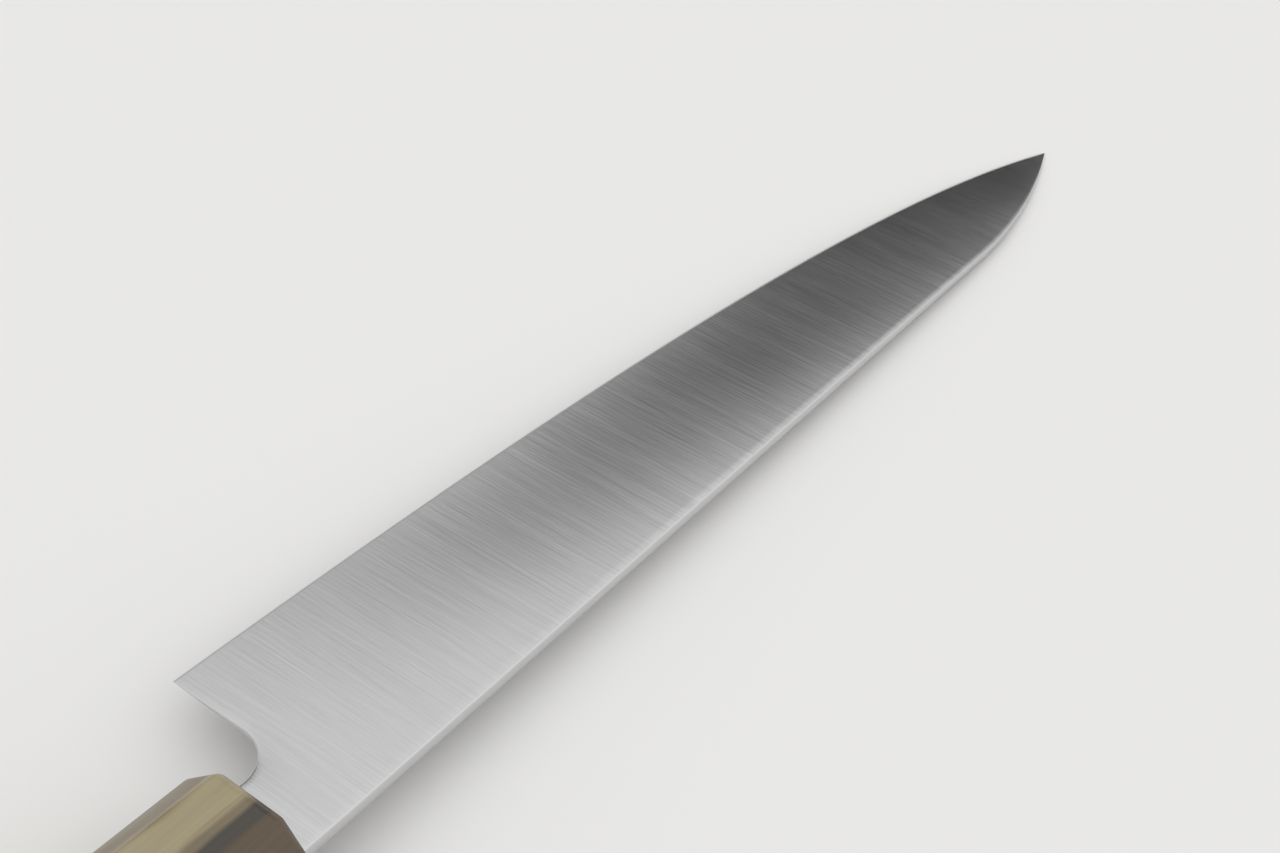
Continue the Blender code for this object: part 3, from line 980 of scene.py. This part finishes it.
FLOOR_SIZE = 16.0
FLOOR_COLOUR = (0.86, 0.855, 0.84)
ZENITH_LIGHT = 1.08
HORIZON_LIGHT = 0.68
ZENITH_HEIGHT = 0.94
SIDE_LIGHT = 0.16
SIDE_AZIMUTH = math.radians(262)
CARD_LIGHT = 0.04
CARD_AZIMUTH = math.radians(42)
CARD_ELEVATION = math.radians(6.3)
CARD_EDGE = (math.radians(37), math.radians(28.5))
CARD_FOOT = (math.radians(11), math.radians(25))


def make_floor():
    """Plain pale floor under the knife."""
    mesh = bmesh.new()
    bmesh.ops.create_grid(mesh, x_segments=1, y_segments=1, size=FLOOR_SIZE / 2)
    data = bpy.data.meshes.new("floor")
    mesh.to_mesh(data)
    mesh.free()
    floor = bpy.data.objects.new("floor", data)
    bpy.context.scene.collection.objects.link(floor)
    material = bpy.data.materials.new("floor_paint")
    graph = Graph(material)
    shader = graph.tree.nodes["Principled BSDF"]
    shader.inputs["Base Color"].default_value = (*FLOOR_COLOUR, 1)
    shader.inputs["Roughness"].default_value = 0.9
    shader.inputs["Specular IOR Level"].default_value = 0.1
    data.materials.append(material)


def sky_direction(azimuth, elevation):
    """Unit vector towards a place on the dome."""
    flat = math.cos(elevation)
    return Vector((flat * math.cos(azimuth), flat * math.sin(azimuth), math.sin(elevation)))


def make_dome():
    """Soft light all round, a little stronger from above and from behind the camera.

    One soft dark card stands past the tip, above the horizon, for the blade to mirror.
    """
    world = bpy.data.worlds.new("studio")
    bpy.context.scene.world = world
    graph = Graph(world)
    direction = graph.add("ShaderNodeTexCoord").outputs["Generated"]
    height = graph.axes(direction)["Z"]
    level = graph.remap(height, (0.0, ZENITH_HEIGHT), (HORIZON_LIGHT, ZENITH_LIGHT), smooth=True)
    side = graph.dot(direction, sky_direction(SIDE_AZIMUTH, 0.0))
    light = graph.math("MULTIPLY", level, graph.math("MULTIPLY_ADD", side, SIDE_LIGHT, 1.0))
    edge = [math.cos(angle) for angle in CARD_EDGE]
    foot = [math.sin(angle) for angle in CARD_FOOT]
    along = graph.dot(direction, sky_direction(CARD_AZIMUTH, CARD_ELEVATION))
    inside = graph.remap(along, edge, (0.0, 1.0), smooth=True)
    above = graph.remap(height, foot, (0.0, 1.0), smooth=True)
    open_share = graph.math("SUBTRACT", 1.0, graph.math("MULTIPLY", inside, above))
    strength = graph.math("MAXIMUM", graph.math("MULTIPLY", light, open_share), CARD_LIGHT)
    background = graph.tree.nodes["Background"]
    graph.feed(background.inputs["Strength"], strength)
    background.inputs["Color"].default_value = (1, 1, 1, 1)


def make_camera():
    """Camera at the photograph's place, looking along the blade from behind the handle."""
    data = bpy.data.cameras.new("photo_camera")
    data.lens = CAMERA_LENS
    data.sensor_width = CAMERA_SENSOR
    data.clip_start = 0.01
    camera = bpy.data.objects.new("photo_camera", data)
    bpy.context.scene.collection.objects.link(camera)
    place = KNIFE @ (Vector(CAMERA_PLACE) * MM)
    aim = KNIFE @ (Vector(CAMERA_AIM) * MM)
    level = (aim - place).to_track_quat("-Z", "Y")
    camera.rotation_mode = "QUATERNION"
    camera.rotation_quaternion = level @ Quaternion((0, 0, 1), CAMERA_ROLL)
    camera.location = place
    bpy.context.scene.camera = camera


def build():
    """Every piece, the finishes, the studio and the camera."""
    knife_axes = bpy.data.objects.new("knife_axes", None)
    bpy.context.scene.collection.objects.link(knife_axes)
    knife_axes.matrix_world = KNIFE
    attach(knife_axes, "root")
    make_camera()
    make_floor()
    make_dome()
    make_blade([
        make_satin_steel(knife_axes),
        make_polished_steel(knife_axes),
        make_honed_steel(knife_axes),
    ])
    make_ferrule(make_horn(knife_axes))
    make_grip(make_wood(knife_axes, "magnolia_wood", GRIP_WOOD))
    raw_wood = make_wood(knife_axes, "dowel_wood", DOWEL_WOOD)
    for slot in frame["nodes"]["joint_dowel"].material_slots:
        slot.material = raw_wood
    make_seal(make_seal_resin(knife_axes))
    bpy.context.scene.view_settings.view_transform = "Standard"


build()
